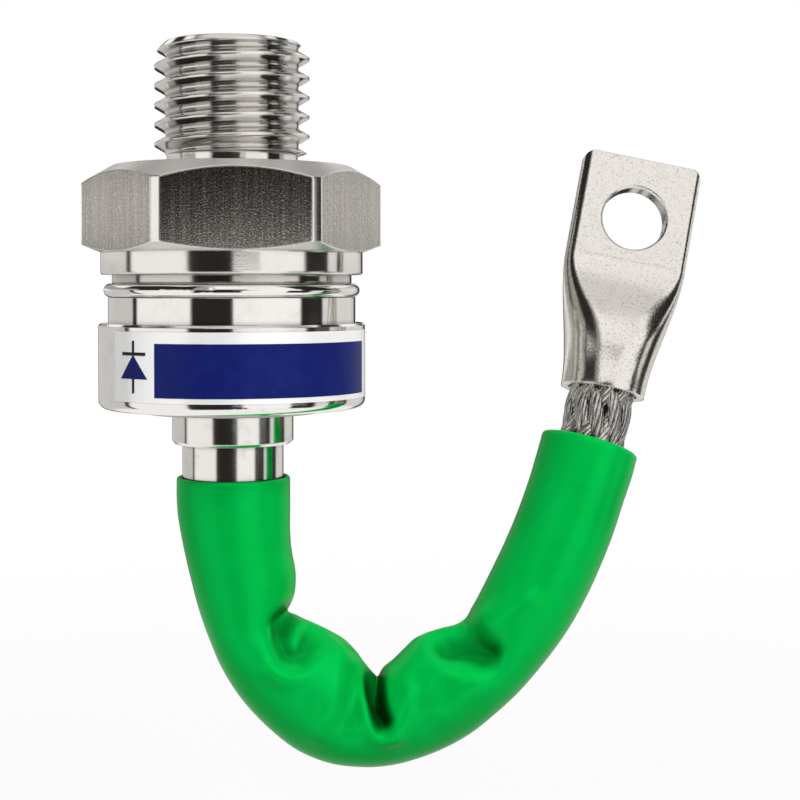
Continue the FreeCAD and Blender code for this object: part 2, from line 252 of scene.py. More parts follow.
def build_soft_edges():
    """Edges rounded over by Radius, in metres: the rounded normal, and a mask of where it turns."""
    tree, given, result = new_group(
        "soft_edges", [("Radius", FLOAT, 0.0003)], [("Edge", FLOAT), ("Normal", VECTOR)]
    )
    rounded = place(tree, "ShaderNodeBevel", {"Radius": given["Radius"]}, samples=6)
    flat = place(tree, "ShaderNodeNewGeometry").outputs["Normal"]
    alike = place(
        tree,
        "ShaderNodeVectorMath",
        {0: rounded.outputs["Normal"], 1: flat},
        operation="DOT_PRODUCT",
    )
    edge = ease(tree, alike.outputs["Value"], EDGE_BEGINS, EDGE_IS_FULL)
    tree.links.new(edge, result["Edge"])
    tree.links.new(rounded.outputs["Normal"], result["Normal"])


def build_hollows():
    """How closed in a place is, by ambient occlusion: 0 in the open, 1 deep in a groove; the finishes paint
    shade with it. Reach, in metres, is how far it looks.
    """
    tree, given, result = new_group(
        "hollows",
        [("Reach", FLOAT, 0.001), ("Open", FLOAT, 0.92), ("Closed", FLOAT, 0.25)],
        [("Amount", FLOAT)],
    )
    shade = place(tree, "ShaderNodeAmbientOcclusion", {"Distance": given["Reach"]}, samples=8)
    tree.links.new(ease(tree, shade.outputs["AO"], given["Open"], given["Closed"]), result["Amount"])


build_grain()
build_turned_lines()
build_soft_edges()
build_hollows()


# Finishes


NICKEL = (0.90, 0.885, 0.86, 1.0)
WARM_NICKEL = (0.86, 0.845, 0.815, 1.0)
STAINED_NICKEL = (0.70, 0.68, 0.64, 1.0)
# The painted highlight along metal edges
PAINTED_EDGE_HIGHLIGHT = (0.97, 0.96, 0.94, 1.0)
# The painted shade in metal hollows
METAL_SHADE_IN_HOLLOWS = (0.11, 0.10, 0.085, 1.0)
STAIN_SHADE = 0.80


def metal_with_painted_light(tree, colour, edge, edge_highlight, reach, hollow_shade):
    """Metal with a painted highlight along its edges and painted shade in its hollows up to reach, in metres.
    """
    # Painted highlight: the edges are mixed towards a bright colour
    edge_lit = mix_colour(tree, times(tree, edge, edge_highlight), colour, PAINTED_EDGE_HIGHLIGHT)
    # Painted shade: the hollows that ambient occlusion finds are darkened
    hollow = times(tree, amount(tree, "hollows", Reach=reach), hollow_shade)
    return mix_colour(tree, hollow, edge_lit, METAL_SHADE_IN_HOLLOWS)


def polished_nickel(name, tint, roughness, stains=0.35):
    """Bright nickel plate over turned steel, with faint lathe lines and handling marks."""
    material, tree, shader = new_material(name, Metallic=1.0, Roughness=roughness)
    lines = amount(tree, "turned_lines", Size=0.11)
    grain = amount(tree, "fine_grain", Size=0.22, Stretch=(1.0, 1.0, 2.2), Detail=2.0)
    clouds = amount(tree, "fine_grain", Size=2.6, Detail=4.0)
    edges = use_group(tree, "soft_edges", Radius=0.00012)
    dull = tuple(part * STAIN_SHADE for part in tint[:3]) + (1.0,)
    stain = times(tree, ease(tree, clouds, 0.50, 0.72), stains)
    plate = mix_colour(tree, stain, tint, dull)
    # Painted highlight along the edges and painted shade in the hollows
    colour = metal_with_painted_light(tree, plate, edges["Edge"], edge_highlight=0.6, reach=0.0009, hollow_shade=0.7)
    rough = mix_value(tree, lines, roughness * 0.6, roughness * 1.5)
    height = calc(tree, "ADD", lines, times(tree, grain, 1.6))
    normal = bump(tree, height, distance=0.0000022, strength=0.6, normal=edges["Normal"])
    feed(tree, shader, colour, rough, normal)
    return material


HEXAGON_SEAT = 0.0
HEXAGON_FOOT = -0.0110
HEXAGON_BLUR = 0.0001
POLISHED_CORNER_RADIUS = 0.01918
CORNER_BLUR = 0.00004


def hexagon_masks(tree):
    """Masks of the hexagon's upright faces, without their polished corners, and of its chamfers."""
    axes = split(tree, point_on_object(tree))
    normal = place(tree, "ShaderNodeNewGeometry").outputs["True Normal"]
    tilt = calc(tree, "ABSOLUTE", split(tree, normal)["Z"])
    radius = distance_from_axis(tree, axes)
    corner = ease(tree, radius, POLISHED_CORNER_RADIUS - CORNER_BLUR, POLISHED_CORNER_RADIUS + CORNER_BLUR)
    low = HEXAGON_FOOT - HEXAGON_BLUR
    high = HEXAGON_SEAT + 2 * HEXAGON_BLUR
    in_height = between(tree, axes["Z"], low, high, HEXAGON_BLUR)
    upright = times(tree, in_height, ease(tree, tilt, 0.12, 0.05))
    face = times(tree, upright, calc(tree, "SUBTRACT", 1.0, corner))
    chamfer = times(tree, in_height, ease(tree, tilt, 0.15, 0.35))
    return face, chamfer


SATIN = (0.29, 0.275, 0.25, 1.0)
SATIN_STREAK = (0.56, 0.54, 0.50, 1.0)
SATIN_SPECKLE = (0.66, 0.64, 0.60, 1.0)


def plated_stud():
    """The stud, hexagon and band: bright where turned, satin with drawn lines on the hexagon's faces."""
    material, tree, shader = new_material("plated_stud", Metallic=1.0, Base_Color=WARM_NICKEL)
    face, chamfer = hexagon_masks(tree)
    lines = amount(tree, "turned_lines", Size=0.13)
    grain = amount(tree, "fine_grain", Size=0.20, Detail=1.5)
    drawn = amount(tree, "fine_grain", Size=0.16, Stretch=(1.0, 1.0, 0.012), Detail=2.0)
    clouds = amount(tree, "fine_grain", Size=3.0, Detail=4.0)
    edges = use_group(tree, "soft_edges", Radius=0.00035)

    streaks = times(tree, ease(tree, drawn, 0.42, 0.62), 0.40)
    speckle = times(tree, ease(tree, grain, 0.50, 0.72), 0.75)
    streaky = mix_colour(tree, streaks, SATIN, SATIN_STREAK)
    satin = mix_colour(tree, speckle, streaky, SATIN_SPECKLE)
    stain = times(tree, ease(tree, clouds, 0.5, 0.75), 0.3)
    turned = mix_colour(tree, stain, WARM_NICKEL, STAINED_NICKEL)
    plate = mix_colour(tree, face, turned, satin)
    # Painted highlight along the edges and painted shade in the hollows
    colour = metal_with_painted_light(tree, plate, edges["Edge"], edge_highlight=0.85, reach=0.0014, hollow_shade=0.85)

    turned_rough = mix_value(tree, lines, 0.06, 0.15)
    satin_rough = mix_value(tree, drawn, 0.08, 0.14)
    plain_rough = mix_value(tree, chamfer, turned_rough, 0.36)
    flat_rough = mix_value(tree, face, plain_rough, satin_rough)
    rough = mix_value(tree, edges["Edge"], flat_rough, 0.16)

    satin_height = calc(tree, "ADD", times(tree, grain, 0.80), times(tree, drawn, 0.30))
    turned_height = times(tree, calc(tree, "ADD", lines, grain), 0.24)
    height = mix_value(tree, face, turned_height, satin_height)
    normal = bump(tree, height, distance=0.000010, strength=0.7, normal=edges["Normal"])
    feed(tree, shader, colour, rough, normal)
    return material


TIN = (0.86, 0.836, 0.795, 1.0)
TIN_SPOT = (0.60, 0.575, 0.53, 1.0)
TIN_STAIN = (0.72, 0.69, 0.64, 1.0)


def pressed_lug():
    """Tinned copper tube pressed flat: silvery with a warm grain, a painted highlight along its edges and
    painted shade in its hollows.
    """
    material, tree, shader = new_material("pressed_lug", Metallic=1.0, Base_Color=TIN)
    grain = amount(tree, "fine_grain", Size=0.26, Detail=2.0)
    clouds = amount(tree, "fine_grain", Size=2.2, Detail=5.0)
    edges = use_group(tree, "soft_edges", Radius=0.00028)
    spotted = mix_colour(tree, ease(tree, grain, 0.50, 0.72), TIN, TIN_SPOT)
    stain = times(tree, ease(tree, clouds, 0.5, 0.8), 0.5)
    stained = mix_colour(tree, stain, spotted, TIN_STAIN)
    # Painted highlight along the edges and painted shade in the hollows
    colour = metal_with_painted_light(tree, stained, edges["Edge"], edge_highlight=0.5, reach=0.0016, hollow_shade=0.6)
    rough = mix_value(tree, grain, 0.12, 0.20)
    normal = bump(tree, grain, distance=0.000014, strength=0.7, normal=edges["Normal"])
    feed(tree, shader, colour, rough, normal)
    return material


GREEN = (0.0, 0.470, 0.062, 1.0)
GREEN_CLOUD = (0.0, 0.50, 0.074, 1.0)
# Painted shade in the sleeve's hollows
GREEN_SHADE_IN_HOLLOWS = (0.0, 0.06, 0.003, 1.0)
# Painted shade deep in the sleeve's folds
GREEN_SHADE_IN_FOLDS = (0.0, 0.03, 0.002, 1.0)
# How far the sleeve's folds are pressed in, in millimetres, kept on its mesh for the painted shade in its
# folds
PRESSED_IN = "pressed_in"


def green_sleeve():
    """Soft green plastic with a satin skin and a faint orange-peel, with painted shade in its hollows and
    deep in its folds.
    """
    material, tree, shader = new_material(
        "green_sleeve",
        Base_Color=GREEN,
        Metallic=0.22,
        Roughness=0.30,
        Specular_IOR_Level=0.03,
    )
    peel = amount(tree, "fine_grain", Size=0.5, Detail=2.0)
    clouds = amount(tree, "fine_grain", Size=7.0, Detail=3.0)
    clouded = mix_colour(tree, ease(tree, clouds, 0.35, 0.70), GREEN, GREEN_CLOUD)
    # Painted shade in the hollows that ambient occlusion finds
    hollow = times(tree, amount(tree, "hollows", Reach=0.004, Open=0.99, Closed=0.45), 0.9)
    shaded = mix_colour(tree, hollow, clouded, GREEN_SHADE_IN_HOLLOWS)
    # Painted shade in the dents and the crease, by how far they are pressed in
    pressed = place(tree, "ShaderNodeAttribute", attribute_name=PRESSED_IN).outputs["Fac"]
    in_dents = times(tree, ease(tree, pressed, 0.4, 1.9), 0.36)
    in_crease = times(tree, ease(tree, pressed, 1.8, 2.9), 0.85)
    fold_shade = calc(tree, "MAXIMUM", in_dents, in_crease)
    colour = mix_colour(tree, fold_shade, shaded, GREEN_SHADE_IN_FOLDS)
    rough = mix_value(tree, clouds, 0.27, 0.34)
    feed(tree, shader, colour, rough, bump(tree, peel, distance=0.000010, strength=0.2))
    return material


WIRE = (0.66, 0.65, 0.62, 1.0)
# Painted shade in the gaps between the wires
WIRE_GAP_SHADE = (0.07, 0.065, 0.055, 1.0)
WIRE_DIRT = (0.28, 0.265, 0.24, 1.0)
WIRES_AROUND = 14.0
WIRE_TWIST = 620.0


def tinned_wire():
    """Bundles of fine tinned wires, with painted shade in the gaps between them; the UV map runs across and
    along each bundle.
    """
    material, tree, shader = new_material("tinned_wire", Metallic=1.0, Base_Color=WIRE)
    axes = split(tree, place(tree, "ShaderNodeTexCoord").outputs["UV"])
    around = times(tree, axes["X"], WIRES_AROUND)
    twisted = calc(tree, "ADD", around, times(tree, axes["Y"], WIRE_TWIST))
    wave = calc(tree, "ABSOLUTE", calc(tree, "SINE", times(tree, twisted, math.pi)))
    grime = amount(tree, "fine_grain", Size=0.5, Detail=3.0)
    # Painted shade along the gaps between the wires
    gap_shade = times(tree, ease(tree, wave, 0.55, 0.05), 0.85)
    grimy = times(tree, ease(tree, grime, 0.45, 0.68), 0.6)
    colour = mix_colour(tree, grimy, mix_colour(tree, gap_shade, WIRE, WIRE_GAP_SHADE), WIRE_DIRT)
    rough = mix_value(tree, grime, 0.20, 0.38)
    feed(tree, shader, colour, rough, bump(tree, wave, distance=0.00006, strength=0.9))
    return material


def plain_finish(name, colour, second, roughness, metallic=0.0, size=1.2, relief=0.00001, **extra):
    """A quiet surface whose colour and gloss vary a little, for the print and what is inside."""
    material, tree, shader = new_material(
        name,
        Base_Color=colour,
        Metallic=metallic,
        Roughness=roughness,
        **extra,
    )
    grain = amount(tree, "fine_grain", Size=size, Detail=4.0)
    varied = mix_colour(tree, ease(tree, grain, 0.35, 0.70), colour, second)
    rough = mix_value(tree, grain, roughness * 0.75, roughness * 1.25)
    feed(tree, shader, varied, rough, bump(tree, grain, distance=relief, strength=0.5))
    return material


nickel = polished_nickel("bright_nickel", NICKEL, roughness=0.06)
cup_nickel = polished_nickel("drawn_cup_nickel", NICKEL, roughness=0.09)
tube_nickel = polished_nickel("drawn_tube_nickel", WARM_NICKEL, roughness=0.12, stains=0.6)
stud_finish = plated_stud()
lug_finish = pressed_lug()
sleeve_finish = green_sleeve()
wire_finish = tinned_wire()
foil = plain_finish(
    "label_foil",
    (0.97, 0.97, 0.965, 1.0),
    (0.94, 0.94, 0.93, 1.0),
    0.24,
    metallic=0.22,
    size=3.0,
    relief=0.000004,
)
navy = plain_finish(
    "navy_print",
    (0.006, 0.012, 0.120, 1.0),
    (0.008, 0.016, 0.140, 1.0),
    0.36,
    size=2.0,
    relief=0.000003,
    Specular_IOR_Level=0.10,
)
black = plain_finish(
    "black_print",
    (0.008, 0.008, 0.010, 1.0),
    (0.012, 0.012, 0.014, 1.0),
    0.40,
    Specular_IOR_Level=0.2,
)
ceramic = plain_finish("alumina_white", (0.82, 0.80, 0.76, 1.0), (0.76, 0.74, 0.70, 1.0), 0.45, size=0.4)
copper = plain_finish("bare_copper", (0.80, 0.42, 0.28, 1.0), (0.62, 0.30, 0.19, 1.0), 0.28, metallic=1.0)
plastic = plain_finish("white_plastic", (0.80, 0.79, 0.76, 1.0), (0.74, 0.73, 0.70, 1.0), 0.42)
silver = plain_finish("silver_foil", (0.93, 0.92, 0.89, 1.0), (0.82, 0.80, 0.76, 1.0), 0.18, metallic=1.0)
molybdenum = plain_finish(
    "molybdenum_grey",
    (0.48, 0.48, 0.49, 1.0),
    (0.40, 0.40, 0.41, 1.0),
    0.34,
    metallic=1.0,
)
silicon = plain_finish("silicon_dark", (0.16, 0.17, 0.20, 1.0), (0.12, 0.13, 0.16, 1.0), 0.12, metallic=0.7)
mica = plain_finish("mica_sheet", (0.55, 0.45, 0.30, 1.0), (0.44, 0.35, 0.22, 1.0), 0.25)
spring = plain_finish("spring_steel", (0.42, 0.41, 0.40, 1.0), (0.32, 0.31, 0.30, 1.0), 0.30, metallic=1.0)
# A dark core of painted shade, seen through the gaps of the plait
plait_shade_core = plain_finish("plait_shade_core", (0.10, 0.095, 0.085, 1.0), (0.06, 0.055, 0.05, 1.0), 0.6, metallic=0.6)

FINISH_OF_NODE = {
    "stud_base": stud_finish,
    "weld_ring": nickel,
    "housing_shell": nickel,
    "cap": cup_nickel,
    "label": foil,
    "insulator": ceramic,
    "terminal_tube": tube_nickel,
    "contact_post": copper,
    "insulating_tube": plastic,
    "lower_foil": silver,
    "upper_foil": silver,
    "lower_molybdenum_disc": molybdenum,
    "upper_molybdenum_disc": molybdenum,
    "silicon_wafer": silicon,
    "centring_ring": plastic,
    "mica_washer": mica,
    "thrust_washer": spring,
    "stop_ring": spring,
    "disc_spring_1": spring,
    "disc_spring_2": spring,
    "disc_spring_3": spring,
    "lead": wire_finish,
    "sleeve": sleeve_finish,
    "cable_lug": lug_finish,
}
for node_name, finish in FINISH_OF_NODE.items():
    cad[node_name].data.materials.clear()
    cad[node_name].data.materials.append(finish)


# The lead's route, as control points in metres from the terminal tube to the cable lug

LEAD_ROUTE = [
    (0.0, 0.0, -0.0360),
    (0.0, 0.0, -0.0470),
    (0.0007, -0.0003, -0.0580),
    (0.0064, -0.0008, -0.0660),
    (0.0155, -0.0011, -0.0713),
    (0.0250, -0.0011, -0.0707),
    (0.0332, -0.0009, -0.0638),
    (0.0388, -0.0006, -0.0556),
    (0.0431, 0.0, -0.0472),
    (0.04689, 0.00110, -0.03620),
    (0.04932, 0.00368, -0.02432),
]


def route_points(name, control):
    """Points along the smooth curve that the route's points steer, in millimetres."""
    curve = bpy.data.curves.new(name, "CURVE")
    curve.dimensions = "3D"
    curve.resolution_u = 40
    line = curve.splines.new("NURBS")
    line.points.add(len(control) - 1)
    for point, place_at in zip(line.points, control):
        point.co = (*place_at, 1.0)
    line.order_u = 3
    line.use_endpoint_u = True
    carrier = bpy.data.objects.new(name, curve)
    scene.collection.objects.link(carrier)
    bpy.context.view_layer.update()
    mesh = bpy.data.meshes.new_from_object(carrier)
    points = [v.co / MM for v in mesh.vertices]
    bpy.data.objects.remove(carrier)
    bpy.data.curves.remove(curve)
    bpy.data.meshes.remove(mesh)
    return points


class Path:
    """A line of points with its lengths, and axes across it that turn as little as they can."""

    def __init__(self, points):
        self.points = points
        self.lengths = [0.0]
        for a, b in zip(points, points[1:]):
            self.lengths.append(self.lengths[-1] + (b - a).length)
        self.total = self.lengths[-1]
        self.along = [
            (points[min(i + 1, len(points) - 1)] - points[max(i - 1, 0)]).normalized()
            for i in range(len(points))
        ]
        self.across = [self.along[0].orthogonal().normalized()]
        for i in range(1, len(points)):
            turn = self.along[i - 1].rotation_difference(self.along[i])
            self.across.append((turn @ self.across[-1]).normalized())

    def at(self, distance):
        """The place, the direction and two axes across at a distance along the line."""
        distance = min(max(distance, 0.0), self.total)
        i = 0
        while i < len(self.lengths) - 2 and self.lengths[i + 1] < distance:
            i += 1
        t = (distance - self.lengths[i]) / (self.lengths[i + 1] - self.lengths[i])
        point = self.points[i].lerp(self.points[i + 1], t)
        along = self.along[i].lerp(self.along[i + 1], t).normalized()
        side = self.across[i].lerp(self.across[i + 1], t)
        side = (side - along * side.dot(along)).normalized()
        return point, along, side, along.cross(side)


lead_path = Path(route_points("lead_route", LEAD_ROUTE))


# The plait, in millimetres: ribbons of fine wire wound both ways, each passing over and under the others

STRANDS_EACH_WAY = 10
STRAND_WIDTH = 1.9
STRAND_THICKNESS = 0.85
STRAND_ROUNDNESS = 0.9
PLAIT_PITCH = 92.0
PLAIT_RADIUS = 4.45
HIDDEN_RADIUS = 3.5
SQUEEZED_FROM = 8.0
SQUEEZED_OVER = 6.0
RELEASED_OVER = 4.0
WEAVE = 0.28
WIRES = 7
WIRE_RELIEF = 0.05
WIRE_SWIRL = 0.9
# Where the ribbons show, with a finer mesh, and how they meet the hidden ones and the lead's ends
EXPOSED_LENGTH = 24.0
EXPOSED_FROM = lead_path.total - EXPOSED_LENGTH
OVERLAP = 1.0
STRAND_END_GAP = 0.2
HIDDEN_STEP = 1.6
HIDDEN_AROUND = 10
EXPOSED_STEP = 0.3
EXPOSED_AROUND = 28
# Each ribbon's own small turn and shift, drawn at random
STRAND_SEED = 8
LARGEST_TURN = 0.07
LARGEST_SHIFT = 0.25
# The dark core of painted shade: its depth below the plait's surface, its end gap and its mesh
CORE_DEPTH = 1.35
CORE_END_GAP = 0.3
CORE_STEP = 1.5
CORE_AROUND = 24


def even_steps(first, last, step):
    """Distances from first to last, about a step apart."""
    count = int((last - first) / step) + 1
    return [first + (last - first) * i / (count - 1) for i in range(count)]


def plait_radius(distance):
    """The plait's outer radius: squeezed a little inside the sleeve, full where it shows."""
    start = held((distance - SQUEEZED_FROM) / SQUEEZED_OVER)
    end = held((distance - EXPOSED_FROM) / RELEASED_OVER)
    squeezed = start * (1.0 - end)
    return PLAIT_RADIUS + (HIDDEN_RADIUS - PLAIT_RADIUS) * squeezed


def ribbon_section(distance, hand, index, turned, shifted, around):
    """One oval section of a ribbon, which leans with its twist and dips under each ribbon it crosses."""
    point, along, side, other = lead_path.at(distance)
    crossing = PLAIT_PITCH / STRANDS_EACH_WAY / 2
    swing = 2 * math.pi * distance / PLAIT_PITCH
    angle = 2 * math.pi * index / STRANDS_EACH_WAY + hand * swing + turned
    lift = hand * WEAVE * math.cos(math.pi * distance / crossing + shifted)
    out = side * math.cos(angle) + other * math.sin(angle)
    centre_radius = plait_radius(distance) - STRAND_THICKNESS / 2 - WEAVE + lift
    centre = point + out * centre_radius
    slope = hand * 2 * math.pi * centre_radius / PLAIT_PITCH
    lean = (along.cross(out) - along * slope).normalized()
    section = []
    for k in range(around):
        turn = 2 * math.pi * k / around
        lobes = 1.0 + WIRE_RELIEF * math.cos(WIRES * 2 * turn + WIRE_SWIRL * distance)
        reach = math.copysign(abs(math.cos(turn)) ** STRAND_ROUNDNESS, math.cos(turn))
        wide = STRAND_WIDTH / 2 * reach
        thick = STRAND_THICKNESS / 2 * math.sin(turn)
        curve_back = (wide * wide) / (2 * centre_radius)
        section.append(centre + lean * wide * lobes + out * (thick * lobes - curve_back))
    return section


def core_section(distance):
    """One round section of the dark core, painted shade that fills the gaps between the ribbons."""
    point, _, side, other = lead_path.at(distance)
    radius = plait_radius(distance) - CORE_DEPTH
    turns = [2 * math.pi * k / CORE_AROUND for k in range(CORE_AROUND)]
    return [point + (side * math.cos(turn) + other * math.sin(turn)) * radius for turn in turns]


def add_tube(points, faces, uvs, sections, distances):
    """Joins sections into a tube closed at both ends; its UV map runs around it and along it, in metres."""
    around = len(sections[0])
    base = len(points)
    for section in sections:
        points.extend(section)
    for i in range(len(sections) - 1):
        start, end = distances[i] * MM, distances[i + 1] * MM
        for k in range(around):
            a = base + i * around + k
            b = base + i * around + (k + 1) % around
            faces.append((a, b, b + around, a + around))
            left, right = k / around, (k + 1) / around
            uvs.extend([(left, start), (right, start), (right, end), (left, end)])
    faces.append(tuple(base + k for k in reversed(range(around))))
    faces.append(tuple(len(points) - around + k for k in range(around)))
    uvs.extend([(0.0, 0.0)] * around * 2)


def build_lead():
    """The plaited lead: its dark core of painted shade, the hidden stretch in few faces and the exposed
    stretch in full.
    """
    chance = random.Random(STRAND_SEED)
    points, faces, uvs = [], [], []
    hidden = even_steps(STRAND_END_GAP, EXPOSED_FROM + OVERLAP, HIDDEN_STEP)
    exposed = even_steps(EXPOSED_FROM, lead_path.total - STRAND_END_GAP, EXPOSED_STEP)
    for hand in (1, -1):
        for index in range(STRANDS_EACH_WAY):
            turned = chance.uniform(-LARGEST_TURN, LARGEST_TURN)
            shifted = chance.uniform(-LARGEST_SHIFT, LARGEST_SHIFT)
            for distances, around in ((hidden, HIDDEN_AROUND), (exposed, EXPOSED_AROUND)):
                sections = [ribbon_section(d, hand, index, turned, shifted, around) for d in distances]
                add_tube(points, faces, uvs, sections, distances)
    wire_faces = len(faces)
    # The dark core of painted shade
    distances = even_steps(CORE_END_GAP, lead_path.total - CORE_END_GAP, CORE_STEP)
    add_tube(points, faces, uvs, [core_section(d) for d in distances], distances)
    made = mesh_object("plaited_lead", points, faces, wire_finish)
    made.data.materials.append(plait_shade_core)
    for polygon in made.data.polygons[wire_faces:]:
        polygon.material_index = 1
    layer = made.data.uv_layers.new(name="wires")
    layer.data.foreach_set("uv", [value for pair in uvs for value in pair])
    return made


# The sleeve: its outer and inner outline in the X-Z plane, in millimetres, from the ferrule to the lug's end

SLEEVE_OUTLINE = [
    (-7.3, -40.4, 7.4, -40.4),
    (-7.3, -42.6, 7.4, -42.6),
    (-7.15, -45.0, 7.4, -44.8),
    (-6.7, -47.7, 7.4, -47.2),
    (-6.1, -50.6, 7.6, -49.8),
    (-5.4, -53.5, 8.1, -52.6),
    (-4.7, -56.2, 8.05, -54.9),
    (-3.8, -59.0, 7.65, -56.4),
    (-2.8, -61.6, 7.2, -57.6),
    (-1.6, -64.4, 8.4, -58.3),
    (0.1, -67.3, 10.5, -59.1),
    (2.1, -69.9, 12.5, -60.2),
    (4.8, -72.6, 14.5, -61.5),
    (7.7, -74.9, 16.1, -62.9),
    (10.5, -76.3, 17.2, -64.1),
    (13.2, -77.1, 17.9, -65.0),
    (16.0, -77.4, 18.4, -65.7),
    (18.6, -77.4, 18.8, -66.1),
    (21.2, -77.1, 19.5, -65.0),
    (23.6, -76.5, 20.9, -63.8),
    (26.2, -75.6, 22.4, -62.3),
    (28.8, -74.4, 23.8, -61.0),
    (31.4, -72.8, 25.4, -60.1),
    (34.2, -70.5, 27.2, -59.6),
    (36.9, -68.0, 28.9, -59.3),
    (39.3, -65.3, 30.3, -58.6),
    (41.7, -62.3, 31.2, -57.1),
    (43.9, -59.1, 32.2, -55.1),
    (45.9, -55.5, 33.7, -52.1),
    (47.6, -51.9, 35.2, -49.0),
    (49.3, -47.8, 36.8, -45.3),
    (50.8, -43.4, 38.4, -41.0),
    (51.8, -40.6, 39.5, -37.5),
    (52.5, -38.2, 40.4, -34.5),
]
# Folds of its front: height in millimetres (below 0 pressed in), half width, and the line they follow
SLEEVE_FOLDS = [
    (-1.9, 1.6, [(7.4, -58.2), (7.3, -59.8), (7.6, -61.4)]),
    (-1.7, 1.6, [(10.6, -59.7), (10.4, -61.0), (9.8, -62.1)]),
    (0.75, 1.0, [(8.9, -58.6), (9.0, -60.0), (8.8, -61.2)]),
    (0.85, 1.2, [(5.8, -63.4), (7.0, -64.4), (8.5, -64.6), (10.0, -63.9), (11.0, -62.8)]),
    (0.75, 1.6, [(14.5, -62.4), (14.0, -64.4), (13.3, -66.7), (12.5, -69.1), (11.4, -71.2)]),
    (-0.8, 1.7, [(16.3, -65.0), (15.9, -67.4), (15.0, -70.0)]),
    (0.7, 0.9, [(17.4, -64.8), (17.3, -67.8), (17.7, -70.2), (18.6, -71.6), (19.9, -72.2), (21.2, -71.7)]),
    (0.6, 1.1, [(21.2, -71.7), (22.1, -70.2), (22.6, -68.2), (22.7, -66.0)]),
    (-2.9, 0.92, [(18.2, -63.9), (18.5, -66.6), (19.1, -68.8), (19.6, -70.2)]),
    (-2.5, 1.9, [(27.2, -60.5), (28.7, -60.6), (30.8, -61.0), (32.6, -61.8)]),
    (0.45, 1.0, [(24.8, -60.4), (25.5, -61.8), (26.6, -63.0), (27.8, -63.8)]),
    (0.5, 1.5, [(30.6, -57.8), (32.2, -57.6), (34.0, -57.0), (37.7, -54.9)]),
    (0.3, 1.2, [(25.9, -64.4), (25.4, -66.2), (25.9, -68.2)]),
    (0.35, 1.6, [(27.8, -69.3), (29.4, -67.2), (31.3, -65.2)]),
]
SLEEVE_WALL = 0.7
SLEEVE_HALF_DEPTH = 7.35
SLEEVE_LEAN = 11.0
LEAN_FROM = 0.80
SLEEVE_ROWS = 270
SLEEVE_AROUND = 104
LIP_STEPS = 5
OUTLINE_FINENESS = 24
# The folds: how wide their slopes run, how they fade at the sides, and how the back's differ from the front's
FOLD_RUN_OUT = 3
FOLD_FADE = 2.0
BACK_FOLD_SHIFT = (1.1, 0.44)
BACK_FOLD_SHARE = 0.8
SOFTENING_PASSES = 4
OWN_SHARE = 0.4
NEIGHBOUR_SHARE = 0.15


def smooth_value(p, q, r, s, f):
    """A number at share f of the way from q to r, on a smooth curve through p, q, r and s."""
    bend = 2 * p - 5 * q + 4 * r - s
    swing = 3 * q - p - 3 * r + s
    return 0.5 * (2 * q + (r - p) * f + bend * f * f + swing * f ** 3)


def smooth_row(rows, t):
    """The row of numbers at t, counted in rows, on the smooth curve through them all."""
    i = min(int(t), len(rows) - 2)
    four = [rows[min(max(i + k, 0), len(rows) - 1)] for k in (-1, 0, 1, 2)]
    return [smooth_value(p, q, r, s, t - i) for p, q, r, s in zip(*four)]


def spread_evenly(rows, count):
    """count rows of numbers at even spacing along a smooth curve through the given rows."""
    steps = OUTLINE_FINENESS * (len(rows) - 1)
    fine = [smooth_row(rows, i / OUTLINE_FINENESS) for i in range(steps + 1)]
    lengths = [0.0]
    for a, b in zip(fine, fine[1:]):
        lengths.append(lengths[-1] + math.dist(a, b))
    found, i = [], 0
    for k in range(count):
        wanted = lengths[-1] * k / (count - 1)
        while i < len(fine) - 2 and lengths[i + 1] < wanted:
            i += 1
        f = (wanted - lengths[i]) / (lengths[i + 1] - lengths[i])
        found.append([a + (b - a) * f for a, b in zip(fine[i], fine[i + 1])])
    return found


def distance_to_line(x, z, line):
    """Distance from a point to a line of short runs in the X-Z plane."""
    nearest = 1e9
    for (ax, az), (bx, bz) in zip(line, line[1:]):
        dx, dz = bx - ax, bz - az
        t = held(((x - ax) * dx + (z - az) * dz) / (dx * dx + dz * dz))
        nearest = min(nearest, math.hypot(x - ax - dx * t, z - az - dz * t))
    return nearest


def fold_height(x, z, back):
    """How far the folds lift or press the sleeve at a place on its front or back."""
    if back:
        x += BACK_FOLD_SHIFT[0]
        z += BACK_FOLD_SHIFT[1]
    total = 0.0
    for height, half_width, line in SLEEVE_FOLDS:
        gap = distance_to_line(x, z, line)
        if gap < half_width * FOLD_RUN_OUT:
            total += height * math.exp(-((gap / half_width) ** 2))
    return total * BACK_FOLD_SHARE if back else total


def sleeve_ring(row, middle, share):
    """One section of the unfolded sleeve: its points and outward normals; share is 0 to 1 along it."""
    ox, oz, ix, iz = row
    inner_side = Vector((ix - ox, 0, iz - oz))
    half_width = inner_side.length / 2
    across = inner_side.normalized()
    along = Vector((across.z, 0, -across.x))
    lean = math.tan(math.radians(SLEEVE_LEAN)) * max(share - LEAN_FROM, 0.0) / (1.0 - LEAN_FROM)
    ring = []
    for k in range(SLEEVE_AROUND):
        turn = 2 * math.pi * k / SLEEVE_AROUND
        wide, deep = math.cos(turn), math.sin(turn)
        out = across * (wide * half_width) + (FRONT + along * lean) * (deep * SLEEVE_HALF_DEPTH)
        normal = (across * (wide / half_width) + FRONT * (deep / SLEEVE_HALF_DEPTH)).normalized()
        ring.append((middle + out, normal))
    return ring


def softened(heights):
    """The grid of heights with each one eased towards its four neighbours."""
    last = len(heights) - 1
    eased = []
    for i, row in enumerate(heights):
        before, after = heights[max(i - 1, 0)], heights[min(i + 1, last)]
        eased_row = []
        for k, own in enumerate(row):
            neighbours = before[k] + after[k] + row[k - 1] + row[(k + 1) % len(row)]
            eased_row.append(OWN_SHARE * own + NEIGHBOUR_SHARE * neighbours)
        eased.append(eased_row)
    return eased


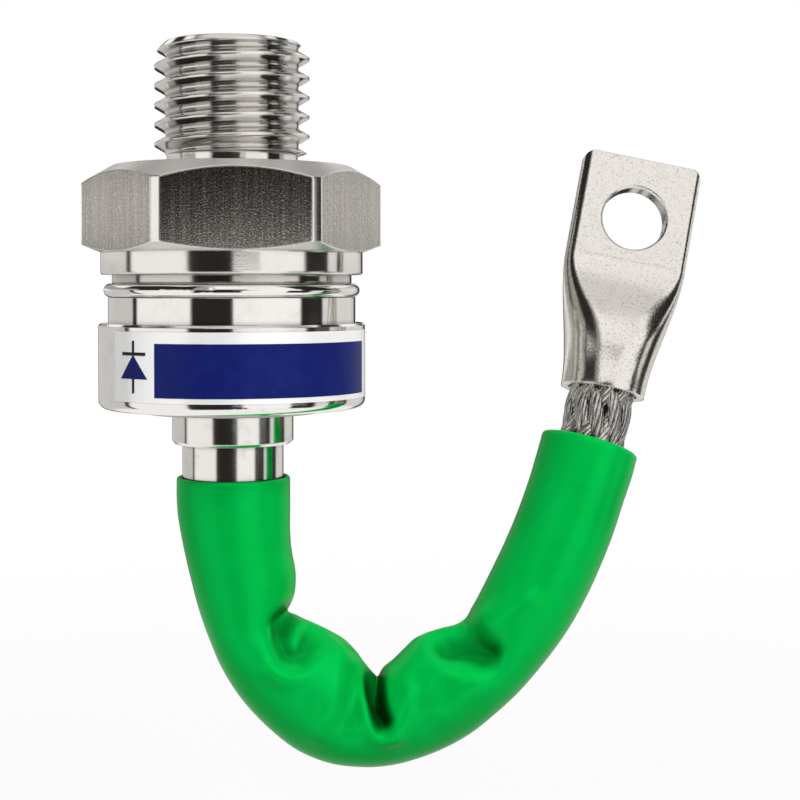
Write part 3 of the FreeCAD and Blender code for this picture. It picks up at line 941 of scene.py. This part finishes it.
def fold_heights(rings):
    """How far each point of the unfolded sleeve is lifted; folds fade out where it turns to its sides."""
    heights = []
    for ring in rings:
        row = []
        for point, normal in ring:
            fade = min(abs(normal.y) * FOLD_FADE, 1.0)
            row.append(fold_height(point.x, point.z, back=normal.y > 0) * fade)
        heights.append(row)
    for _ in range(SOFTENING_PASSES):
        heights = softened(heights)
    return heights


def depth_of_lead(x, z):
    """How far back the lead lies where it comes nearest to a point of the X-Z plane."""
    return min(lead_path.points, key=lambda point: math.hypot(point.x - x, point.z - z)).y


def inset(ring, depth, past, direction):
    """The ring's points, moved in by depth and on by past."""
    return [point - normal * depth + direction * past for point, normal in ring]


def build_sleeve():
    """The sleeve as one closed skin: outside, rounded lip, bore and the other lip."""
    rows = spread_evenly(SLEEVE_OUTLINE, SLEEVE_ROWS)
    middles = []
    for ox, oz, ix, iz in rows:
        x, z = (ox + ix) / 2, (oz + iz) / 2
        middles.append(Vector((x, depth_of_lead(x, z), z)))
    plain = [sleeve_ring(row, middles[i], i / (SLEEVE_ROWS - 1)) for i, row in enumerate(rows)]
    heights = fold_heights(plain)
    skin = []
    for ring, lifts in zip(plain, heights):
        skin.append([(point + normal * lift, normal) for (point, normal), lift in zip(ring, lifts)])
    at_ferrule = (middles[0] - middles[2]).normalized()
    at_lug = (middles[-1] - middles[-3]).normalized()

    rings = [[point for point, _ in ring] for ring in skin]
    half_wall = SLEEVE_WALL / 2
    lip_turns = [math.pi * k / LIP_STEPS for k in range(1, LIP_STEPS)]
    for turn in lip_turns:
        rings.append(inset(skin[-1], half_wall * (1 - math.cos(turn)), half_wall * math.sin(turn), at_lug))
    for ring in reversed(skin):
        rings.append(inset(ring, SLEEVE_WALL, 0.0, at_lug))
    for turn in lip_turns:
        rings.append(inset(skin[0], half_wall * (1 + math.cos(turn)), half_wall * math.sin(turn), at_ferrule))
    points = [point for ring in rings for point in ring]
    faces = []
    for r in range(len(rings)):
        here, after = r * SLEEVE_AROUND, (r + 1) % len(rings) * SLEEVE_AROUND
        for k in range(SLEEVE_AROUND):
            beside = (k + 1) % SLEEVE_AROUND
            faces.append((here + k, after + k, after + beside, here + beside))
    made = mesh_object("crumpled_sleeve", points, faces, sleeve_finish)
    # How far each point is pressed in, which the finish uses for the painted shade in the folds
    depths = [-lift for lifts in heights for lift in lifts]
    depths += [0.0] * (len(points) - len(depths))
    made.data.attributes.new(PRESSED_IN, "FLOAT", "POINT").data.foreach_set("value", depths)
    return made


plaited_lead = build_lead()
crumpled_sleeve = build_sleeve()
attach(plaited_lead, "root")
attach(crumpled_sleeve, "root")
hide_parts("lead")
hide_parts("sleeve")


# The print on the label: a plain navy field and the usual diode symbol, each a thin raised skin

LABEL_RADIUS = 17.32
PRINT_THICKNESS = 0.03
PRINT_SUNK = 0.02


def on_label(angle, height, radius):
    """A place on the label, by its angle from the front and its height."""
    turn = math.radians(angle)
    return Vector((radius * math.sin(turn), -radius * math.cos(turn), height))


def printed_patch(name, finish, top, bottom, rows=2, step=2.0):
    """A patch of print between two edges, each (left angle, right angle, height)."""
    widest = max(top[1] - top[0], bottom[1] - bottom[0])
    columns = max(2, int(widest / step) + 1)
    points, faces = [], []
    for radius in (LABEL_RADIUS + PRINT_THICKNESS, LABEL_RADIUS - PRINT_SUNK):
        for r in range(rows):
            f = r / (rows - 1)
            left, right, height = (a + (b - a) * f for a, b in zip(top, bottom))
            for c in range(columns):
                points.append(on_label(left + (right - left) * c / (columns - 1), height, radius))
    layer = rows * columns
    for r in range(rows - 1):
        for c in range(columns - 1):
            a = r * columns + c
            faces.append((a, a + columns, a + columns + 1, a + 1))
            faces.append((layer + a, layer + a + 1, layer + a + columns + 1, layer + a + columns))
    rim = list(range(columns))
    rim += [r * columns + columns - 1 for r in range(1, rows)]
    rim += [(rows - 1) * columns + c for c in reversed(range(columns - 1))]
    rim += [r * columns for r in reversed(range(1, rows - 1))]
    for a, b in zip(rim, rim[1:] + rim[:1]):
        faces.append((a, b, layer + b, layer + a))
    made = mesh_object(name, points, faces, finish)
    made.data.polygons.foreach_set("use_smooth", [False] * len(faces))
    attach(made, "root")
    return made


# Angles in degrees from the label's front, and heights in millimetres
FIELD_ANGLES = (-27.0, 76.3)
FIELD_TOP = -22.3
FIELD_BOTTOM = -28.85
SYMBOL_ANGLE = -38.2
SYMBOL_TOP = -22.0
BAR_TOP = -23.4
BAR_BOTTOM = -23.8
TRIANGLE_BOTTOM = -26.65
SYMBOL_BOTTOM = -28.4
LINE_HALF_ANGLE = 0.62
BAR_HALF_ANGLE = 6.7
TIP_HALF_ANGLE = 0.3
TRIANGLE_HALF_ANGLE = 7.7


def symbol_part(name, finish, top, bottom, top_half_angle, bottom_half_angle, rows=2):
    """A part of the diode symbol, the same to the left and right of its middle line."""
    upper_edge = (SYMBOL_ANGLE - top_half_angle, SYMBOL_ANGLE + top_half_angle, top)
    lower_edge = (SYMBOL_ANGLE - bottom_half_angle, SYMBOL_ANGLE + bottom_half_angle, bottom)
    return printed_patch(name, finish, upper_edge, lower_edge, rows)


printed_patch("printed_field", navy, (*FIELD_ANGLES, FIELD_TOP), (*FIELD_ANGLES, FIELD_BOTTOM), rows=4)
symbol_part("symbol_upper_line", black, SYMBOL_TOP, BAR_TOP, LINE_HALF_ANGLE, LINE_HALF_ANGLE)
symbol_part("symbol_bar", black, BAR_TOP, BAR_BOTTOM, BAR_HALF_ANGLE, BAR_HALF_ANGLE)
symbol_part("symbol_triangle", navy, BAR_BOTTOM, TRIANGLE_BOTTOM, TIP_HALF_ANGLE, TRIANGLE_HALF_ANGLE, rows=6)
symbol_part("symbol_lower_line", black, TRIANGLE_BOTTOM, SYMBOL_BOTTOM, LINE_HALF_ANGLE, LINE_HALF_ANGLE)


# The stage: a pale floor below the object, white surroundings with dark strips for the metal to show


FLOOR_HALF_SIZE = 600.0
FLOOR_PLACE = (0.0217, 0.0, -0.095)
FLOOR_MATT = (0.36, 0.36, 0.36, 1.0)
# How white the camera sees the floor near the object, and where it becomes fully white, in metres
FLOOR_WHITENESS = 0.95
FLOOR_TURNS_WHITE = (0.05, 0.30)
# The metal mirrors the floor with this share of white, and only to this distance
FLOOR_MIRRORED = 0.9
FLOOR_MIRRORED_TO = (0.12, 0.16)


def build_floor():
    """A wide pale floor under the object, which keeps its soft shadow."""
    material = bpy.data.materials.new("pale_floor")
    material.use_nodes = True
    tree = material.node_tree
    tree.nodes.clear()
    where = point_on_object(tree)
    reach = place(tree, "ShaderNodeVectorMath", {0: where}, operation="LENGTH").outputs["Value"]
    rays = place(tree, "ShaderNodeLightPath").outputs
    matt = place(tree, "ShaderNodeBsdfDiffuse", {"Color": FLOOR_MATT})
    glow = place(tree, "ShaderNodeEmission", {"Color": WHITE, "Strength": 1.0})
    clear = place(tree, "ShaderNodeBsdfTransparent")
    whiteness = mix_value(tree, ease(tree, reach, *FLOOR_TURNS_WHITE), FLOOR_WHITENESS, 1.0)
    seen = times(tree, rays["Is Camera Ray"], whiteness)
    mirrored = calc(tree, "MAXIMUM", rays["Is Glossy Ray"], rays["Is Transmission Ray"])
    share = calc(tree, "MAXIMUM", seen, times(tree, mirrored, FLOOR_MIRRORED))
    pale = place(tree, "ShaderNodeMixShader", {0: share, 1: matt.outputs[0], 2: glow.outputs[0]})
    far_out = times(tree, mirrored, ease(tree, reach, *FLOOR_MIRRORED_TO))
    both = place(tree, "ShaderNodeMixShader", {0: far_out, 1: pale.outputs[0], 2: clear.outputs[0]})
    place(tree, "ShaderNodeOutputMaterial", {"Surface": both.outputs[0]})
    half = FLOOR_HALF_SIZE
    corners = [(-half, -half, 0), (half, -half, 0), (half, half, 0), (-half, half, 0)]
    floor = mesh_object("floor", corners, [(0, 1, 2, 3)], material)
    floor.location = FLOOR_PLACE


GREY = 0.60
DARK = 0.022
WARMTH_OF_DARK = 0.80
WARMTH_OF_LIGHT = 0.96


def strip_ramp(tree, value, strips, reach=180.0, soft=0.6):
    """A colour ramp of strips, each (start, brightness), from -reach to reach."""
    node = place(tree, "ShaderNodeValToRGB", {"Fac": value})
    ramp = node.color_ramp
    stops = []
    for i, (start, brightness) in enumerate(strips):
        stops.append(((start + soft) / reach / 2 + 0.5, brightness))
        if i + 1 < len(strips):
            stops.append(((strips[i + 1][0] - soft) / reach / 2 + 0.5, brightness))
    for i, (position, brightness) in enumerate(stops):
        position = held(position)
        element = ramp.elements[i] if i < 2 else ramp.elements.new(position)
        element.position = position
        warmth = WARMTH_OF_DARK if brightness == DARK else WARMTH_OF_LIGHT
        element.color = (brightness, brightness * (1 + warmth) / 2, brightness * warmth, 1.0)
    return node.outputs["Color"]


# Strips of light and dark round the object, each with the angle in degrees where it begins and its brightness

# Well below the camera's height, for the ferrule
DEEP_STRIPS = [
    (-180, DARK), (-176, GREY), (-168, DARK), (-160, GREY), (-97.5, DARK), (-91.5, 0.95), (-32.5, DARK),
    (14, 1.0), (56, DARK), (80, 0.8), (95, DARK), (120, 0.72), (150, GREY), (160, DARK), (170, GREY),
]
# A little below the camera's height, for the housing
LOW_STRIPS = [
    (-180, DARK), (-176, GREY), (-168, DARK), (-160, GREY), (-97.5, DARK), (-91.5, 0.95), (-32.5, DARK),
    (6, 1.0), (70.5, DARK), (96.5, 0.72), (150, GREY), (160, DARK), (170, GREY),
]
# For the hexagon's faces
MIDDLE_STRIPS = [
    (-180, DARK), (-176, GREY), (-168, DARK), (-160, 1.0), (-97.5, DARK), (-91.5, 1.0), (-34, DARK),
    (29, 1.0), (70, DARK), (96.5, 0.95), (150, GREY), (160, DARK), (170, GREY),
]
# For the thread's crests and the stud's neck
HIGH_STRIPS = [
    (-180, DARK), (-176, GREY), (-168, DARK), (-160, 0.38), (-87, DARK), (-61, 0.95), (-30, DARK),
    (19, 1.0), (69, DARK), (108, 0.72), (150, GREY), (160, DARK), (170, GREY),
]
# For the cable lug
LOFTY_STRIPS = [
    (-180, DARK), (-171, 0.30), (-112, DARK), (-31, 0.36), (-20, 1.0), (2, 0.98), (24, 0.94), (46, 1.0),
    (64, DARK), (104, 0.40), (176, DARK),
]
OVERHEAD = (0.74, 0.73, 0.71, 1.0)
# Heights between which each table takes over from the one below, as sines of the elevation
STRIPS_BY_HEIGHT = [
    (-0.055, -0.045, LOW_STRIPS),
    (0.020, 0.028, MIDDLE_STRIPS),
    (0.070, 0.084, HIGH_STRIPS),
    (0.22, 0.34, LOFTY_STRIPS),
]
OVERHEAD_FROM = (0.84, 0.93)
BEHIND_FROM = (0.30, 0.42)
BEHIND_ABOVE = (0.30, 0.40)
WORLD_ON_MATT = (0.38, 0.38, 0.385, 1.0)
# High up behind, for the thread's flanks; each start is a height from 0 to 1, or from -1 to 0 on the left
BEHIND_STRIPS = [
    (-1.0, DARK), (-0.835, 1.0), (-0.73, DARK), (-0.56, 1.0), (0.58, DARK), (0.765, 1.0), (0.862, DARK),
]


def build_surroundings():
    """White to the camera, even light on matt surfaces, and light and dark strips for the metal to mirror."""
    world = bpy.data.worlds.new("studio")
    world.use_nodes = True
    scene.world = world
    tree = world.node_tree
    tree.nodes.clear()
    axes = split(tree, place(tree, "ShaderNodeTexCoord").outputs["Generated"])
    height = axes["Z"]
    azimuth = calc(tree, "ARCTAN2", axes["X"], times(tree, axes["Y"], -1.0))
    turn = calc(tree, "MULTIPLY_ADD", azimuth, 0.5 / math.pi, 0.5)
    strips = strip_ramp(tree, turn, DEEP_STRIPS)
    for start, end, table in STRIPS_BY_HEIGHT:
        strips = mix_colour(tree, ease(tree, height, start, end), strips, strip_ramp(tree, turn, table))
    strips = mix_colour(tree, ease(tree, height, *OVERHEAD_FROM), strips, OVERHEAD)
    side = calc(tree, "SIGN", axes["X"])
    signed_height = calc(tree, "MULTIPLY_ADD", times(tree, side, height), 0.5, 0.5)
    behind = strip_ramp(tree, signed_height, BEHIND_STRIPS, reach=1.0, soft=0.008)
    backwards = times(tree, ease(tree, axes["Y"], *BEHIND_FROM), ease(tree, height, *BEHIND_ABOVE))
    strips = mix_colour(tree, backwards, strips, behind)
    rays = place(tree, "ShaderNodeLightPath").outputs
    plain = mix_colour(tree, rays["Is Camera Ray"], WORLD_ON_MATT, WHITE)
    colour = mix_colour(tree, rays["Is Glossy Ray"], plain, strips)
    light = place(tree, "ShaderNodeBackground", {"Color": colour, "Strength": 1.0})
    place(tree, "ShaderNodeOutputWorld", {"Surface": light.outputs[0]})


LAMPS_LOOK_AT = Vector((0.0217, 0.0, -0.030))


def soft_lamp(name, azimuth, elevation, distance, size, watts):
    """A square lamp in a direction given in degrees; the metal mirrors the strips and not the lamp."""
    a, e = math.radians(azimuth), math.radians(elevation)
    away = Vector((math.sin(a) * math.cos(e), -math.cos(a) * math.cos(e), math.sin(e)))
    data = bpy.data.lights.new(name, "AREA")
    data.size = size
    data.energy = watts
    lamp = bpy.data.objects.new(name, data)
    lamp.location = LAMPS_LOOK_AT + away * distance
    lamp.rotation_euler = away.to_track_quat("Z", "Y").to_euler()
    lamp.visible_glossy = False
    scene.collection.objects.link(lamp)


build_floor()
build_surroundings()
soft_lamp("key_lamp", azimuth=32, elevation=42, distance=0.50, size=0.16, watts=2.5)
soft_lamp("fill_lamp", azimuth=-65, elevation=15, distance=0.60, size=0.40, watts=0.75)


# The camera, at the photograph's viewing angle

CAMERA_PLACE = (0.021705, -0.208289, -0.01549)
CAMERA_LOOKS_DOWN = 1.172

lens = bpy.data.cameras.new("camera")
lens.sensor_width = 36.0
lens.lens = 72.188
lens.shift_y = -0.10
lens.clip_start = 0.01
lens.clip_end = 10.0
camera = bpy.data.objects.new("camera", lens)
camera.location = CAMERA_PLACE
camera.rotation_euler = (math.radians(90.0 - CAMERA_LOOKS_DOWN), 0.0, 0.0)
scene.collection.objects.link(camera)
scene.camera = camera
scene.view_settings.view_transform = "Standard"
